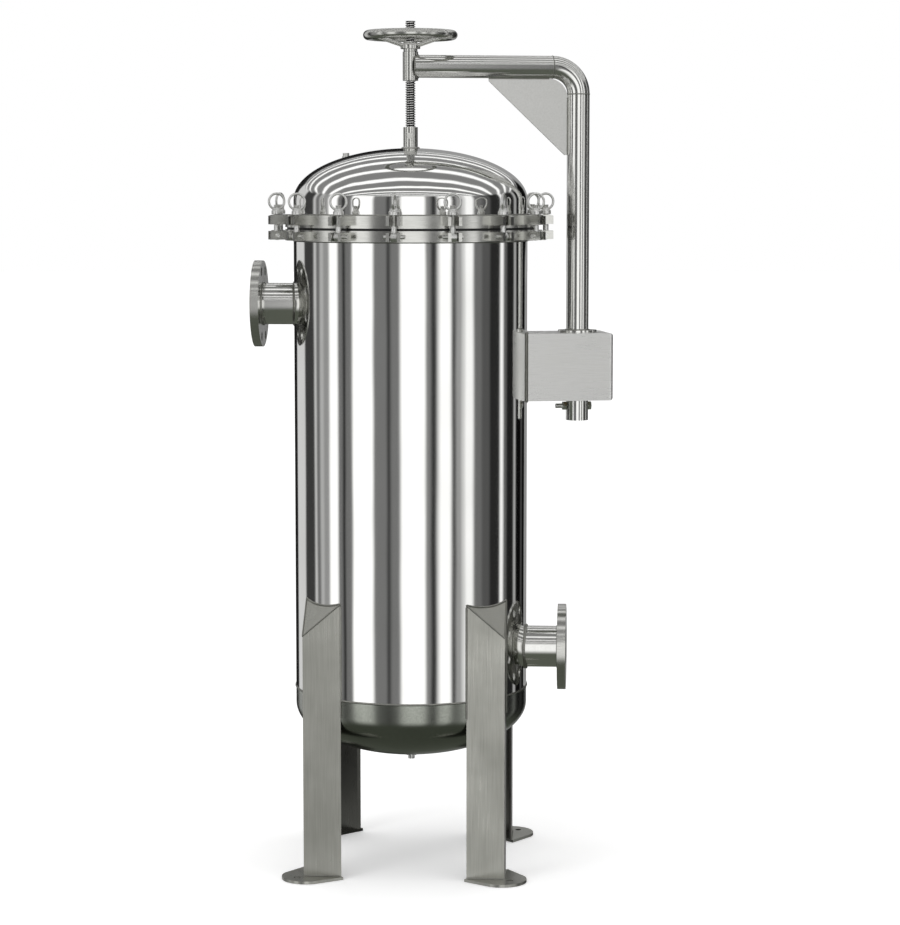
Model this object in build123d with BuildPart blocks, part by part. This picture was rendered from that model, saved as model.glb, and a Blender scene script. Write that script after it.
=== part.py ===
"""Multi-bag filter housing: a domed lid held by swing bolts, lifted by a handwheel screw on a davit."""

import os
from math import cos, pi, radians, sin

from build123d import *

# Millimetres. The vessel axis is Z, the floor is Z = 0, the inlet points to -X and the outlet to +X.

# --- vessel ---
SHELL_R = 250.0
WALL = 5.0
SHELL_BOTTOM_Z = 383.0
HEAD_RISE = 110.0  # dished part of each head, outside
BOTTOM_SKIRT = 36.0
LID_SKIRT = 57.0
FLANGE_R = SHELL_R + 18
FLANGE_BOTTOM_Z = 1345.0
FLANGE_TOP_Z = 1368.0
GASKET_T = 5.0
GASKET_IN_R = SHELL_R + 1
GASKET_OUT_R = FLANGE_R - 4
LID_BOTTOM_Z = FLANGE_TOP_Z + GASKET_T
LID_TOP_Z = 1399.0

# --- swing bolt closure ---
BOLT_COUNT = 15
BOLT_FIRST_DEG = -92.25  # from +X
BOLT_CIRCLE_R = FLANGE_R + 21
BOLT_R = 6.0
LUG_TIP_R = BOLT_CIRCLE_R + 16
LUG_SLOT = 16.0
LUG_ROOT = 5.0  # how far each lug is let into its flange
LUG_WIDTH = 30.0
LID_LUG_Z = 1379.0
VESSEL_LUG_Z = 1347.0
VESSEL_LUG_T = 18.0
CHAMFER_LENGTH = 7.0
CHAMFER_HEIGHT = 2.2
PIN_Z = 1356.0
PIN_R = 4.0
PIN_LENGTH = 43.0
EYE_R = 10.0
EYE_WIDTH = 14.0
RUNNING_GAP = 0.05
NUT_SEAT_GAP = 1.3  # finger-loose nuts, so that the bolts can swing out
BOLT_PROUD = 20.0
NUT_BASE_R = 11.0
NUT_BASE_T = 8.0
NUT_NECK_R = 8.5
NUT_NECK_Z = 14.0
NUT_WIRE_R = 2.5
NUT_RING_R = 16.5
NUT_RING_Z = 27.0
NUT_TURNS = [-2, 72, -50, 24, 15, 8, -25, 50, 15, -60, 30, 75, 4, -25, -59]

# --- nozzles ---
NOZZLE_REACH = SHELL_R + 86
PIPE_R = 44.55
PIPE_BORE_R = 41.55
NOZZLE_FLANGE_R = 92.5
NOZZLE_FLANGE_T = 18.0
NOZZLE_PCD_R = 75.0
NOZZLE_HOLES = 8
NOZZLE_HOLE_R = 9.5
INLET_Z = 1208.0
OUTLET_Z = 467.5

# --- legs ---
LEG_WIDTH = 80.0
LEG_CORNER = 0.85 * SHELL_R
LEG_TOE = LEG_CORNER - LEG_WIDTH
LEG_T = 5.0
LEG_TOE_Z = 588.0
LEG_CORNER_Z = 520.0
FOOT_T = 6.0
FOOT_MARGIN = 4.5  # past the leg's toes
FOOT_WING = 42.5  # past the leg's corner
FOOT_SHOULDER = 27.5  # back from the leg's corner
FOOT_NOSE = 31.5  # the rounded end, past the corner in X and Y
ANCHOR = LEG_CORNER + 12.5
ANCHOR_HOLE_R = 7.0

# --- davit ---
DAVIT_DEG = 12.0
DAVIT_X = SHELL_R + 114
TUBE_R = 24.15
TUBE_WALL = 3.0
ARM_Z = 1713.0
ELBOW_R = 57.0
POST_BOTTOM_Z = 954.0
BOX_END_X = DAVIT_X + 68
BOX_ROOT_X = SHELL_R - 50  # inside the shell, where the box is trimmed to it
BOX_DEPTH = 120.0
BOX_BOTTOM_Z = 1000.0
BOX_TOP_Z = 1145.0
BOX_WALL = 5.0
BOX_EDGE_R = 8.0
BUSH_R = 31.0
BUSH_LENGTH = 25.0
COLLAR_R = 42.0
COLLAR_T = 5.0
GUSSET_T = 6.0
GUSSET_ARM_X = DAVIT_X - 195
GUSSET_GAP = 4.0  # clear of the elbow
GUSSET_FOOT_Z = 1526.0
RETAINER_R = 5.0
RETAINER_Z = 985.0
RETAINER_TAIL = 15.0

# --- lifting screw and handwheel ---
SCREW_R = 10.75
SCREW_BOTTOM_Z = 1558.0
SLEEVE_R = 16.5
SLEEVE_BOTTOM_Z = ARM_Z - 30.5  # the sleeve is centred on the arm
SLEEVE_TOP_Z = ARM_Z + 30.5
SCREW_TOP_Z = SLEEVE_TOP_Z + 64.5
COUPLER_R = 15.5
COUPLER_BOTTOM_Z = 1543.0
COUPLER_TOP_Z = 1584.4
SLOT_NECK_R = 6.5
SLOT_NECK_TOP_Z = 1549.0
SLOT_CAVITY_R = 11.0
SLOT_CAVITY_TOP_Z = 1555.5
COUPLER_PIN_Z = 1566.0
STUD_PAD_TOP_Z = 1542.6
STUD_NECK_R = 5.5
STUD_BUTTON_R = 10.0
STUD_BUTTON_Z = 1549.3
STUD_TOP_Z = 1555.1
RIM_R = 90.5
RIM_WIRE_R = 10.0
RIM_Z = SLEEVE_TOP_Z + 35
SPOKE_R = 4.5
SPOKE_COUNT = 3
SPOKE_FIRST_DEG = -25.5
HUB_R = 15.0
HUB_FLANGE_R = 21.0
HUB_TOP_Z = SLEEVE_TOP_Z + 20.5

# --- vent and drain ---
VENT_X, VENT_Y = -0.592 * SHELL_R, 0.376 * SHELL_R
VENT_R = 8.5
VENT_BORE_R = 4.5
VENT_BOTTOM_Z = 1497.0
VENT_TOP_Z = 1524.0
VENT_PLUG_TOP_Z = 1531.0
DRAIN_R = 11.5
DRAIN_BORE_R = 5.0
DRAIN_BOTTOM_Z = 225.0
DRAIN_PLUG_Z = 217.0
DRAIN_PLUG_R = 7.0

# --- bags and baskets ---
BAG_CIRCLE_R = SHELL_R - 107
BAG_FIRST_DEG = 45.0
PLATE_Z = 1140.0
PLATE_T = 6.0
BASKET_R = SHELL_R - 161  # as large as the bag circle leaves for four, with webs between
BASKET_WALL = 2.0
BASKET_RIM_R = BASKET_R + 9
BASKET_RIM_T = 4.0
BASKET_LENGTH = 760.0
WINDOW_W = 30.0
WINDOW_H = 0.42 * BASKET_LENGTH
BAG_R = BASKET_R - BASKET_WALL - 0.5
BAG_WALL = 1.5

LUG_LENGTH = LUG_TIP_R - FLANGE_R + LUG_ROOT
OUTWARD = (Align.MIN, Align.CENTER)
APEX_Z = LID_BOTTOM_Z + LID_SKIRT + HEAD_RISE
NUT_Z = LID_TOP_Z + NUT_SEAT_GAP
BOLT_TOP_Z = NUT_Z + BOLT_PROUD
BOLT_ANGLES = [BOLT_FIRST_DEG + i * 360 / BOLT_COUNT for i in range(BOLT_COUNT)]

os.makedirs("parts", exist_ok=True)


def save(part, name):
    """Labels one finished piece and writes it as its own file."""
    part.label = name
    export_step(part, f"parts/{name}.step")


def radial_plane(angle, radius=0.0, height=0.0):
    """A plane whose x runs outward at an angle, y upward, and whose normal is tangential."""
    a = radians(angle)
    return Plane(
        origin=(radius * cos(a), radius * sin(a), height),
        x_dir=(cos(a), sin(a), 0),
        z_dir=(sin(a), -cos(a), 0),
    )


def level_plane(angle, radius=0.0, height=0.0):
    """A level plane whose x runs outward at an angle."""
    a = radians(angle)
    return Plane(
        origin=(radius * cos(a), radius * sin(a), height),
        x_dir=(cos(a), sin(a), 0),
        z_dir=(0, 0, 1),
    )


def dished_head(skirt_z, spring_z, sign):
    """A dished head; its skirt runs from skirt_z to spring_z, sign +1 bulges up and -1 down."""
    with BuildPart() as head:
        with BuildSketch(Plane.XZ):
            with BuildLine():
                outer = EllipticalCenterArc(
                    (0, spring_z), SHELL_R, HEAD_RISE, 0, arc_size=sign * 90
                )
                inner = EllipticalCenterArc(
                    (0, spring_z),
                    SHELL_R - WALL,
                    HEAD_RISE - WALL,
                    0,
                    arc_size=sign * 90,
                )
                Line(outer @ 1, inner @ 1)
                Polyline(
                    inner @ 0, (SHELL_R - WALL, skirt_z), (SHELL_R, skirt_z), outer @ 0
                )
            make_face()
        revolve(axis=Axis.Z)
    return head.part


# ---------------------------------------------------------------- vessel
with BuildPart() as shell:
    with BuildSketch(Plane.XY.offset(SHELL_BOTTOM_Z)):
        Circle(SHELL_R)
        Circle(SHELL_R - WALL, mode=Mode.SUBTRACT)
    extrude(amount=FLANGE_TOP_Z - SHELL_BOTTOM_Z)
    for side, height in ((-1, INLET_Z), (1, OUTLET_Z)):
        with BuildSketch(Plane(origin=(0, 0, height), z_dir=(side, 0, 0))):
            Circle(PIPE_R)
        extrude(amount=SHELL_R + 1, mode=Mode.SUBTRACT)
save(shell.part, "shell")

with BuildPart() as bottom_head:
    add(dished_head(SHELL_BOTTOM_Z, SHELL_BOTTOM_Z - BOTTOM_SKIRT, -1))
    with BuildSketch(Plane.XY.offset(DRAIN_BOTTOM_Z)):
        Circle(DRAIN_R)
    extrude(amount=60, mode=Mode.SUBTRACT)
save(bottom_head.part, "bottom_head")

with BuildPart() as vessel_flange:
    with BuildSketch(Plane.XY.offset(FLANGE_BOTTOM_Z)):
        Circle(FLANGE_R)
        Circle(SHELL_R, mode=Mode.SUBTRACT)
    extrude(amount=FLANGE_TOP_Z - FLANGE_BOTTOM_Z)
    for angle in BOLT_ANGLES:
        with BuildSketch(level_plane(angle, FLANGE_R - LUG_ROOT, VESSEL_LUG_Z)):
            Rectangle(LUG_LENGTH, LUG_WIDTH, align=OUTWARD)
        extrude(amount=VESSEL_LUG_T)
        with BuildSketch(level_plane(angle, FLANGE_R, VESSEL_LUG_Z)):
            Rectangle(LUG_LENGTH, LUG_SLOT, align=OUTWARD)
        extrude(amount=VESSEL_LUG_T, mode=Mode.SUBTRACT)
        with BuildSketch(radial_plane(angle, BOLT_CIRCLE_R, PIN_Z)):
            Circle(PIN_R)
        extrude(amount=LUG_WIDTH, both=True, mode=Mode.SUBTRACT)
save(vessel_flange.part, "vessel_flange")

with BuildPart() as hinge_pins:
    for angle in BOLT_ANGLES:
        with BuildSketch(radial_plane(angle, BOLT_CIRCLE_R, PIN_Z)):
            Circle(PIN_R)
        extrude(amount=PIN_LENGTH / 2, both=True)
save(hinge_pins.part, "hinge_pins")

with BuildPart() as lid_gasket:
    with BuildSketch(Plane.XY.offset(FLANGE_TOP_Z)):
        Circle(GASKET_OUT_R)
        Circle(GASKET_IN_R, mode=Mode.SUBTRACT)
    extrude(amount=GASKET_T)
save(lid_gasket.part, "lid_gasket")

# ---------------------------------------------------------------- swing bolts and eye nuts
for number, angle in enumerate(BOLT_ANGLES, start=1):
    with BuildPart() as swing_bolt:
        with BuildSketch(level_plane(angle, BOLT_CIRCLE_R, PIN_Z)):
            Circle(BOLT_R)
        extrude(amount=BOLT_TOP_Z - PIN_Z)
        with BuildSketch(radial_plane(angle, BOLT_CIRCLE_R, PIN_Z)):
            Circle(EYE_R)
        extrude(amount=EYE_WIDTH / 2, both=True)
        with BuildSketch(radial_plane(angle, BOLT_CIRCLE_R, PIN_Z)):
            Circle(PIN_R + RUNNING_GAP)
        extrude(amount=EYE_WIDTH, both=True, mode=Mode.SUBTRACT)
    save(swing_bolt.part, f"swing_bolt_{number:02d}")

    with BuildPart() as eye_nut:
        with BuildSketch(radial_plane(angle + NUT_TURNS[number - 1])):
            with BuildLine():
                Polyline(
                    (0, 0),
                    (NUT_BASE_R, 0),
                    (NUT_BASE_R, NUT_BASE_T),
                    (NUT_NECK_R, NUT_NECK_Z),
                    (0, NUT_NECK_Z),
                    close=True,
                )
            make_face()
        revolve(axis=Axis.Z)
        ring_plane = radial_plane(angle + NUT_TURNS[number - 1], 0, NUT_RING_Z)
        with BuildSketch(
            Plane(
                origin=ring_plane.origin, x_dir=ring_plane.z_dir, z_dir=ring_plane.x_dir
            )
        ):
            with Locations((0, NUT_RING_R)):
                Circle(NUT_WIRE_R)
        revolve(axis=Axis(ring_plane.origin, ring_plane.z_dir))
        with BuildSketch(Plane.XY):
            Circle(BOLT_R + RUNNING_GAP)
        extrude(amount=NUT_RING_Z, mode=Mode.SUBTRACT)
    place = Vector(
        BOLT_CIRCLE_R * cos(radians(angle)), BOLT_CIRCLE_R * sin(radians(angle)), NUT_Z
    )
    save(eye_nut.part.moved(Location(place)), f"eye_nut_{number:02d}")

# ---------------------------------------------------------------- lid
with BuildPart() as lid_dome:
    add(dished_head(LID_BOTTOM_Z, LID_BOTTOM_Z + LID_SKIRT, 1))
    with BuildSketch(Plane.XY.offset(VENT_BOTTOM_Z)):
        with Locations((VENT_X, VENT_Y)):
            Circle(VENT_R)
    extrude(amount=60, mode=Mode.SUBTRACT)
save(lid_dome.part, "lid_dome")

with BuildPart() as lid_flange:
    with BuildSketch(Plane.XY.offset(LID_BOTTOM_Z)):
        Circle(FLANGE_R)
        Circle(SHELL_R, mode=Mode.SUBTRACT)
    extrude(amount=LID_TOP_Z - LID_BOTTOM_Z)
    for angle in BOLT_ANGLES:
        with BuildSketch(radial_plane(angle)):
            with BuildLine():
                Polyline(
                    (FLANGE_R - LUG_ROOT, LID_LUG_Z),
                    (LUG_TIP_R, LID_LUG_Z),
                    (LUG_TIP_R, LID_TOP_Z - CHAMFER_HEIGHT),
                    (LUG_TIP_R - CHAMFER_LENGTH, LID_TOP_Z),
                    (FLANGE_R - LUG_ROOT, LID_TOP_Z),
                    close=True,
                )
            make_face()
        extrude(amount=LUG_WIDTH / 2, both=True)
        with BuildSketch(level_plane(angle, FLANGE_R, LID_LUG_Z)):
            Rectangle(LUG_LENGTH, LUG_SLOT, align=OUTWARD)
        extrude(amount=LID_TOP_Z - LID_LUG_Z, mode=Mode.SUBTRACT)
save(lid_flange.part, "lid_flange")

with BuildPart() as lift_stud:
    with BuildSketch(Plane.XZ):
        with BuildLine():
            seat = EllipticalCenterArc(
                (0, LID_BOTTOM_Z + LID_SKIRT), SHELL_R, HEAD_RISE, 90, arc_size=-4.129
            )
            Polyline(
                seat @ 1,
                ((seat @ 1).X, STUD_PAD_TOP_Z),
                (STUD_NECK_R, STUD_PAD_TOP_Z),
                (STUD_NECK_R, STUD_BUTTON_Z),
                (STUD_BUTTON_R, STUD_BUTTON_Z),
                (STUD_BUTTON_R, STUD_TOP_Z),
                (0, STUD_TOP_Z),
                seat @ 0,
            )
        make_face()
    revolve(axis=Axis.Z)
save(lift_stud.part, "lift_stud")

with BuildPart() as vent_coupling:
    with BuildSketch(Plane.XY.offset(VENT_BOTTOM_Z)):
        with Locations((VENT_X, VENT_Y)):
            Circle(VENT_R)
            Circle(VENT_BORE_R, mode=Mode.SUBTRACT)
    extrude(amount=VENT_TOP_Z - VENT_BOTTOM_Z)
    with BuildSketch(Plane.XY.offset(VENT_TOP_Z)):
        with Locations((VENT_X, VENT_Y)):
            RegularPolygon(7.0, 6)
    extrude(amount=VENT_PLUG_TOP_Z - VENT_TOP_Z)
save(vent_coupling.part, "vent_coupling")


# ---------------------------------------------------------------- nozzles
def nozzle(name, side, height):
    """Builds a pipe and its drilled flange on one side of the shell, side -1 for -X and +1 for +X."""
    face = Plane(
        origin=(side * NOZZLE_REACH, 0, height), x_dir=(0, 1, 0), z_dir=(-side, 0, 0)
    )
    with BuildPart() as pipe:
        with BuildSketch(face):
            Circle(PIPE_R)
            Circle(PIPE_BORE_R, mode=Mode.SUBTRACT)
        extrude(amount=NOZZLE_REACH - 0.7 * SHELL_R)
        with BuildSketch(Plane.XY.offset(height - 100)):
            Circle(SHELL_R - WALL)
        extrude(amount=200, mode=Mode.SUBTRACT)
    save(pipe.part, f"{name}_pipe")
    with BuildPart() as flange:
        with BuildSketch(face):
            Circle(NOZZLE_FLANGE_R)
            Circle(PIPE_R, mode=Mode.SUBTRACT)
            with PolarLocations(NOZZLE_PCD_R, NOZZLE_HOLES, 180 / NOZZLE_HOLES):
                Circle(NOZZLE_HOLE_R, mode=Mode.SUBTRACT)
        extrude(amount=NOZZLE_FLANGE_T)
    save(flange.part, f"{name}_flange")


nozzle("inlet", -1, INLET_Z)
nozzle("outlet", 1, OUTLET_Z)

# ---------------------------------------------------------------- drain
with BuildPart() as drain_plug:
    with BuildSketch(Plane.XZ):
        with BuildLine():
            Polyline(
                (0, DRAIN_PLUG_Z),
                (DRAIN_PLUG_R, DRAIN_PLUG_Z),
                (DRAIN_PLUG_R, DRAIN_BOTTOM_Z),
                (DRAIN_R, DRAIN_BOTTOM_Z),
                (DRAIN_R, DRAIN_BOTTOM_Z + 18),
                (0, DRAIN_BOTTOM_Z + 18),
                close=True,
            )
        make_face()
    revolve(axis=Axis.Z)
save(drain_plug.part, "drain_plug")

# ---------------------------------------------------------------- legs
# The cap plane falls from the toes to the corner of the angle.
TOE_LINE = (LEG_CORNER + LEG_TOE) / 2 * 2**0.5
CORNER_LINE = LEG_CORNER * 2**0.5
CAP_SLOPE = (LEG_TOE_Z - LEG_CORNER_Z) / (CORNER_LINE - TOE_LINE)
with BuildPart() as leg:
    with BuildSketch(Plane.XY.offset(FOOT_T)):
        with BuildLine():
            Polyline(
                (LEG_TOE, LEG_CORNER),
                (LEG_CORNER, LEG_CORNER),
                (LEG_CORNER, LEG_TOE),
                (LEG_CORNER - LEG_T, LEG_TOE),
                (LEG_CORNER - LEG_T, LEG_CORNER - LEG_T),
                (LEG_TOE, LEG_CORNER - LEG_T),
                close=True,
            )
        make_face()
    extrude(amount=LEG_TOE_Z - FOOT_T)
    with BuildSketch(radial_plane(45)):
        with BuildLine():
            Polyline(
                (TOE_LINE - 60, LEG_TOE_Z - LEG_T + 60 * CAP_SLOPE),
                (CORNER_LINE + 20, LEG_CORNER_Z - LEG_T - 20 * CAP_SLOPE),
                (CORNER_LINE + 20, LEG_TOE_Z + 60 * CAP_SLOPE + 120),
                (TOE_LINE - 60, LEG_TOE_Z + 60 * CAP_SLOPE + 120),
                close=True,
            )
        make_face()
    extrude(amount=120, both=True, mode=Mode.SUBTRACT)
    with BuildSketch(Plane.XY):
        Circle(SHELL_R)
    extrude(amount=700, mode=Mode.SUBTRACT)

with BuildPart() as leg_cap:
    with BuildSketch(radial_plane(45)):
        with BuildLine():
            Polyline(
                (TOE_LINE - 20, LEG_TOE_Z - LEG_T + 20 * CAP_SLOPE),
                (CORNER_LINE, LEG_CORNER_Z - LEG_T),
                (CORNER_LINE, LEG_CORNER_Z),
                (TOE_LINE - 20, LEG_TOE_Z + 20 * CAP_SLOPE),
                close=True,
            )
        make_face()
    extrude(amount=70, both=True)
    with BuildSketch(Plane.XY.offset(LEG_CORNER_Z - 120)):
        with BuildLine():
            Polyline(
                (LEG_TOE, LEG_CORNER),
                (LEG_CORNER, LEG_CORNER),
                (LEG_CORNER, LEG_TOE),
                (LEG_TOE, LEG_TOE),
                close=True,
            )
        make_face()
    extrude(amount=300, mode=Mode.INTERSECT)
    with BuildSketch(Plane.XY):
        Circle(SHELL_R)
    extrude(amount=800, mode=Mode.SUBTRACT)

with BuildPart() as legs:
    with PolarLocations(0, 4):
        add(leg.part)
        add(leg_cap.part)
save(legs.part, "legs")

with BuildSketch() as foot_outline:
    with BuildLine():
        wing, shoulder = LEG_CORNER + FOOT_WING, LEG_CORNER - FOOT_SHOULDER
        toe, side = LEG_TOE - FOOT_MARGIN, LEG_CORNER + FOOT_MARGIN
        nose = LEG_CORNER + FOOT_NOSE
        Polyline((shoulder, wing), (toe, side), (side, toe), (wing, shoulder))
        ThreePointArc((wing, shoulder), (nose, nose), (shoulder, wing))
    make_face()

with BuildPart() as foot_plates:
    with BuildSketch():
        with PolarLocations(0, 4):
            add(foot_outline.sketch)
        with GridLocations(2 * ANCHOR, 2 * ANCHOR, 2, 2):
            Circle(ANCHOR_HOLE_R, mode=Mode.SUBTRACT)
    extrude(amount=FOOT_T)
save(foot_plates.part, "foot_plates")

# ---------------------------------------------------------------- bags and baskets
with BuildPart() as bag_plate:
    with BuildSketch(Plane.XY.offset(PLATE_Z)):
        Circle(SHELL_R - WALL)
        with PolarLocations(BAG_CIRCLE_R, 4, BAG_FIRST_DEG):
            Circle(BASKET_R, mode=Mode.SUBTRACT)
    extrude(amount=PLATE_T)
save(bag_plate.part, "bag_plate")

PLATE_TOP_Z = PLATE_Z + PLATE_T
BASKET_BOTTOM_Z = PLATE_TOP_Z - BASKET_LENGTH
with BuildPart() as basket:
    with BuildSketch(Plane.XY.offset(BASKET_BOTTOM_Z)):
        Circle(BASKET_R)
    extrude(amount=BASKET_LENGTH)
    with BuildSketch(Plane.XY.offset(PLATE_TOP_Z)):
        Circle(BASKET_RIM_R)
    extrude(amount=BASKET_RIM_T)
    with BuildSketch(Plane.XY.offset(BASKET_BOTTOM_Z + BASKET_WALL)):
        Circle(BASKET_R - BASKET_WALL)
    extrude(amount=BASKET_LENGTH + BASKET_RIM_T, mode=Mode.SUBTRACT)
    for level in (BASKET_BOTTOM_Z + 40, BASKET_BOTTOM_Z + 0.52 * BASKET_LENGTH):
        with BuildSketch(Plane.XY.offset(level)):
            for turn in (0, 60, 120):
                Rectangle(3 * BASKET_R, WINDOW_W, rotation=turn)
        extrude(amount=WINDOW_H, mode=Mode.SUBTRACT)

with BuildPart() as bag:
    with BuildSketch(Plane.XY.offset(BASKET_BOTTOM_Z + BASKET_WALL + 0.5)):
        Circle(BAG_R)
    extrude(amount=BASKET_LENGTH + BASKET_RIM_T - BASKET_WALL - 0.5)
    with BuildSketch(Plane.XY.offset(PLATE_TOP_Z + BASKET_RIM_T)):
        Circle(BASKET_R + 4)
    extrude(amount=5)
    with BuildSketch(Plane.XY.offset(BASKET_BOTTOM_Z + BASKET_WALL + 0.5 + BAG_WALL)):
        Circle(BAG_R - BAG_WALL)
    extrude(amount=BASKET_LENGTH + 20, mode=Mode.SUBTRACT)

with BuildPart() as bag_baskets:
    with PolarLocations(BAG_CIRCLE_R, 4, BAG_FIRST_DEG):
        add(basket.part)
save(bag_baskets.part, "bag_baskets")

with BuildPart() as filter_bags:
    with PolarLocations(BAG_CIRCLE_R, 4, BAG_FIRST_DEG):
        add(bag.part)
save(filter_bags.part, "filter_bags")

# ---------------------------------------------------------------- davit bracket
BOX_MID_X = (BOX_ROOT_X + BOX_END_X) / 2
with BuildPart() as davit_box:
    with BuildSketch(radial_plane(DAVIT_DEG)):
        with Locations((BOX_MID_X, (BOX_BOTTOM_Z + BOX_TOP_Z) / 2)):
            Rectangle(BOX_END_X - BOX_ROOT_X, BOX_TOP_Z - BOX_BOTTOM_Z)
    extrude(amount=BOX_DEPTH / 2, both=True)
    far_end = davit_box.faces().sort_by(Axis((0, 0, 0), radial_plane(DAVIT_DEG).x_dir))[-1]
    fillet(far_end.edges(), BOX_EDGE_R)
    with BuildSketch(radial_plane(DAVIT_DEG)):
        with Locations(
            (BOX_MID_X - BOX_WALL / 2, (BOX_BOTTOM_Z + BOX_TOP_Z) / 2)
        ):
            Rectangle(
                BOX_END_X - BOX_ROOT_X - BOX_WALL, BOX_TOP_Z - BOX_BOTTOM_Z - 2 * BOX_WALL
            )
    extrude(amount=BOX_DEPTH / 2 - BOX_WALL, both=True, mode=Mode.SUBTRACT)
    with BuildSketch(Plane.XY):
        Circle(SHELL_R)
    extrude(amount=1400, mode=Mode.SUBTRACT)
    with BuildSketch(level_plane(DAVIT_DEG, DAVIT_X, BOX_BOTTOM_Z - 10)):
        Circle(BUSH_R)
    extrude(amount=200, mode=Mode.SUBTRACT)
save(davit_box.part, "davit_box")

with BuildPart() as post_bushes:
    for bush_z in (BOX_BOTTOM_Z, BOX_TOP_Z - BUSH_LENGTH):
        with BuildSketch(level_plane(DAVIT_DEG, DAVIT_X, bush_z)):
            Circle(BUSH_R)
            Circle(TUBE_R + RUNNING_GAP, mode=Mode.SUBTRACT)
        extrude(amount=BUSH_LENGTH)
save(post_bushes.part, "post_bushes")

# ---------------------------------------------------------------- davit
with BuildPart() as davit_post:
    with BuildSketch(level_plane(DAVIT_DEG, DAVIT_X, POST_BOTTOM_Z)):
        Circle(TUBE_R)
    extrude(amount=ARM_Z - ELBOW_R - POST_BOTTOM_Z)
    with BuildSketch(level_plane(DAVIT_DEG, DAVIT_X, BOX_TOP_Z)):
        Circle(COLLAR_R)
    extrude(amount=COLLAR_T)
    with BuildSketch(level_plane(DAVIT_DEG, DAVIT_X, POST_BOTTOM_Z)):
        Circle(TUBE_R - TUBE_WALL)
    extrude(amount=ARM_Z - ELBOW_R - POST_BOTTOM_Z, mode=Mode.SUBTRACT)
    with BuildSketch(
        Plane(
            origin=level_plane(DAVIT_DEG, DAVIT_X - 60, RETAINER_Z).origin,
            z_dir=level_plane(DAVIT_DEG).x_dir,
        )
    ):
        Circle(RETAINER_R)
    extrude(amount=120, mode=Mode.SUBTRACT)
save(davit_post.part, "davit_post")

with BuildPart() as davit_elbow:
    with BuildSketch(level_plane(DAVIT_DEG, DAVIT_X, ARM_Z - ELBOW_R)):
        Circle(TUBE_R)
        Circle(TUBE_R - TUBE_WALL, mode=Mode.SUBTRACT)
    turn_axis = radial_plane(DAVIT_DEG, DAVIT_X - ELBOW_R, ARM_Z - ELBOW_R)
    revolve(axis=Axis(turn_axis.origin, -turn_axis.z_dir), revolution_arc=-90)
save(davit_elbow.part, "davit_elbow")

with BuildPart() as davit_arm:
    arm_start = level_plane(DAVIT_DEG, 0, ARM_Z)
    with BuildSketch(Plane(origin=arm_start.origin, z_dir=arm_start.x_dir)):
        Circle(TUBE_R)
        Circle(TUBE_R - TUBE_WALL, mode=Mode.SUBTRACT)
    extrude(amount=DAVIT_X - ELBOW_R)
    with BuildSketch(Plane.XY.offset(ARM_Z - 60)):
        Circle(SLEEVE_R)
    extrude(amount=120, mode=Mode.SUBTRACT)
    with BuildSketch(level_plane(DAVIT_DEG, 0, ARM_Z - 60)):
        Rectangle(13, 120)
    extrude(amount=120, mode=Mode.SUBTRACT)
save(davit_arm.part, "davit_arm")

GUSSET_POST_X = DAVIT_X - TUBE_R
GUSSET_TOP_Z = ARM_Z - TUBE_R
GUSSET_NIB = 6.0  # blunt ends of the long edge
ELBOW_X, ELBOW_Z = DAVIT_X - ELBOW_R, ARM_Z - ELBOW_R
with BuildPart() as davit_gusset:
    with BuildSketch(radial_plane(DAVIT_DEG)):
        with BuildLine():
            Polyline(
                (GUSSET_ARM_X, GUSSET_TOP_Z),
                (ELBOW_X - GUSSET_GAP, GUSSET_TOP_Z),
            )
            relief = ThreePointArc(
                (ELBOW_X - GUSSET_GAP, GUSSET_TOP_Z),
                (
                    ELBOW_X + (ELBOW_R - TUBE_R - GUSSET_GAP) * cos(pi / 4),
                    ELBOW_Z + (ELBOW_R - TUBE_R - GUSSET_GAP) * sin(pi / 4),
                ),
                (GUSSET_POST_X, ELBOW_Z - GUSSET_GAP),
            )
            Polyline(
                relief @ 1,
                (GUSSET_POST_X, GUSSET_FOOT_Z),
                (GUSSET_POST_X - GUSSET_NIB, GUSSET_FOOT_Z),
                (GUSSET_ARM_X, GUSSET_TOP_Z - GUSSET_NIB),
                (GUSSET_ARM_X, GUSSET_TOP_Z),
            )
        make_face()
    extrude(amount=GUSSET_T / 2, both=True)
save(davit_gusset.part, "davit_gusset")

with BuildPart() as screw_sleeve:
    with BuildSketch(Plane.XY.offset(SLEEVE_BOTTOM_Z)):
        Circle(SLEEVE_R)
        Circle(SCREW_R + RUNNING_GAP, mode=Mode.SUBTRACT)
    extrude(amount=SLEEVE_TOP_Z - SLEEVE_BOTTOM_Z)
save(screw_sleeve.part, "screw_sleeve")

with BuildPart() as retaining_bolt:
    for start, length, radius in (
        (-TUBE_R - RETAINER_TAIL - 8, 2 * TUBE_R + RETAINER_TAIL + 10, RETAINER_R),
        (TUBE_R, 6.5, 8.5),
        (-TUBE_R - 8, 8, 8.5),
    ):
        at = level_plane(DAVIT_DEG, DAVIT_X + start, RETAINER_Z)
        with BuildSketch(Plane(origin=at.origin, z_dir=at.x_dir)):
            if radius == RETAINER_R:
                Circle(radius)
            else:
                RegularPolygon(radius, 6, major_radius=False)
        extrude(amount=length)
    # The head and the nut sit on the round post.
    with BuildSketch(level_plane(DAVIT_DEG, DAVIT_X, RETAINER_Z - 30)):
        Circle(TUBE_R)
        Circle(TUBE_R - TUBE_WALL, mode=Mode.SUBTRACT)
    extrude(amount=60, mode=Mode.SUBTRACT)
    at = level_plane(DAVIT_DEG, DAVIT_X - TUBE_R - 4, RETAINER_Z)
    with BuildSketch(Plane(origin=at.origin, z_dir=at.x_dir)):
        Circle(RETAINER_R)
    extrude(amount=2 * TUBE_R + 8)
save(retaining_bolt.part, "retaining_bolt")

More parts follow.
